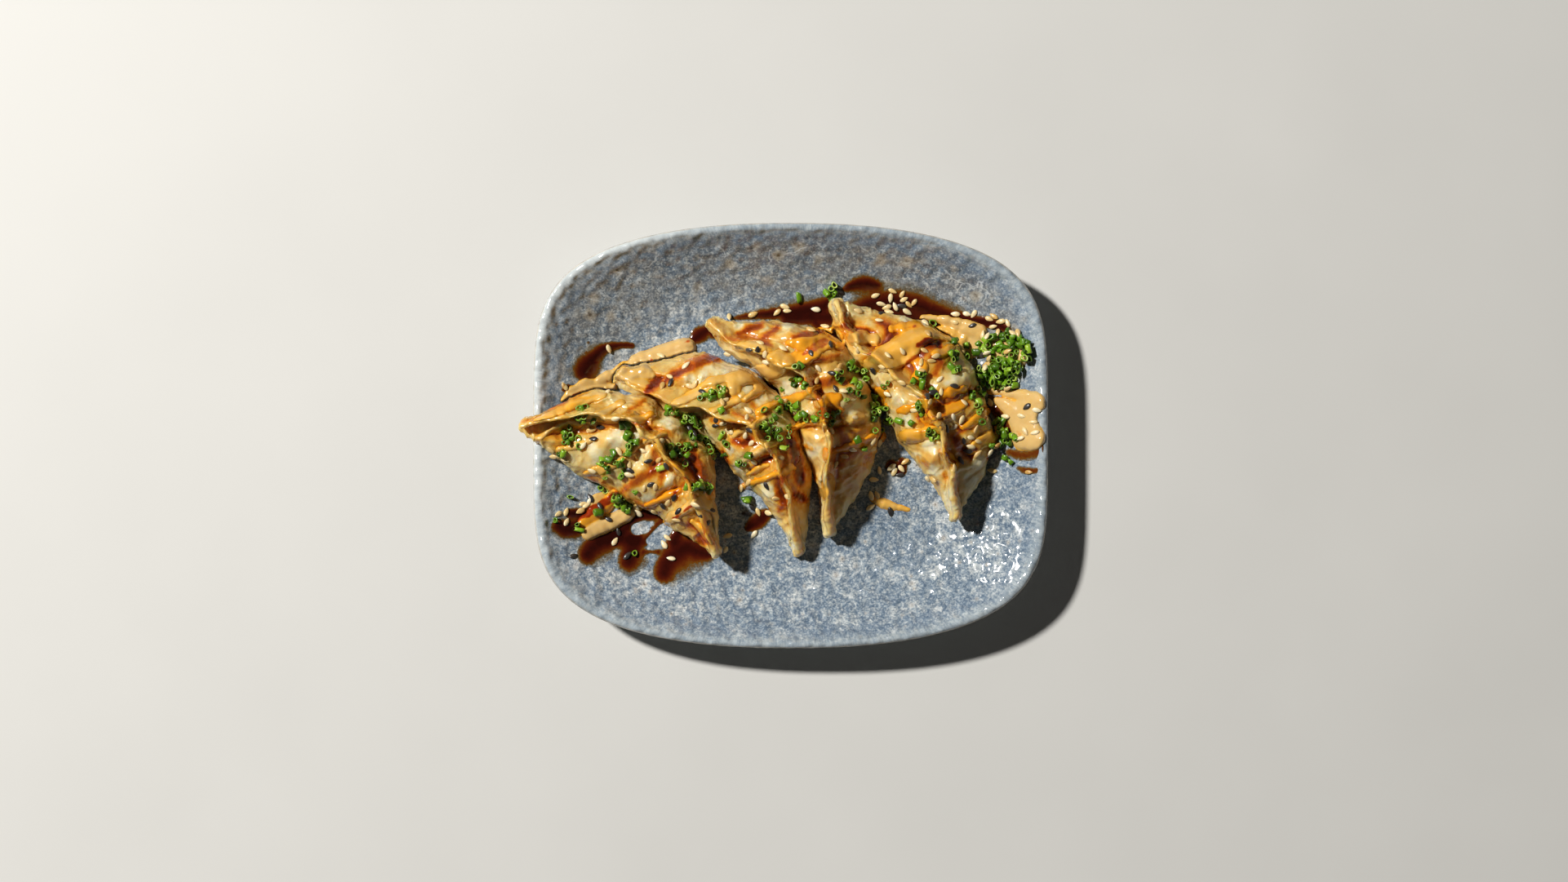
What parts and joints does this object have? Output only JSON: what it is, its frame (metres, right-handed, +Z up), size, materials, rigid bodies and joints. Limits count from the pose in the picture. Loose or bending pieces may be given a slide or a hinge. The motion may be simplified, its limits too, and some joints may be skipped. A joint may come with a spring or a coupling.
{
  "type": "plate of gyoza dumplings",
  "caption": "Crisp pan-fried gyoza dumplings fanned out on a shallow rounded-rectangle plate with a mottled blue-grey glaze, dressed with sauce, sesame seeds and chives.",
  "frame": {"origin": "middle of the whole, at the height of the surface the plate's foot stands on", "axes": "+X along the plate's long side towards the right of the row of dumplings, +Y towards the back of the plate, +Z up"},
  "size_m": [0.1746, 0.141, 0.0353],
  "materials": {
    "plate_glaze": "gloss",
    "gyoza_dough": "satin"
  },
  "bodies": {
    "root": {"plate": "plate_glaze", "gyoza_1": "gyoza_dough", "gyoza_2": "gyoza_dough", "gyoza_3": "gyoza_dough", "gyoza_4": "gyoza_dough"}
  },
  "joints": []
}
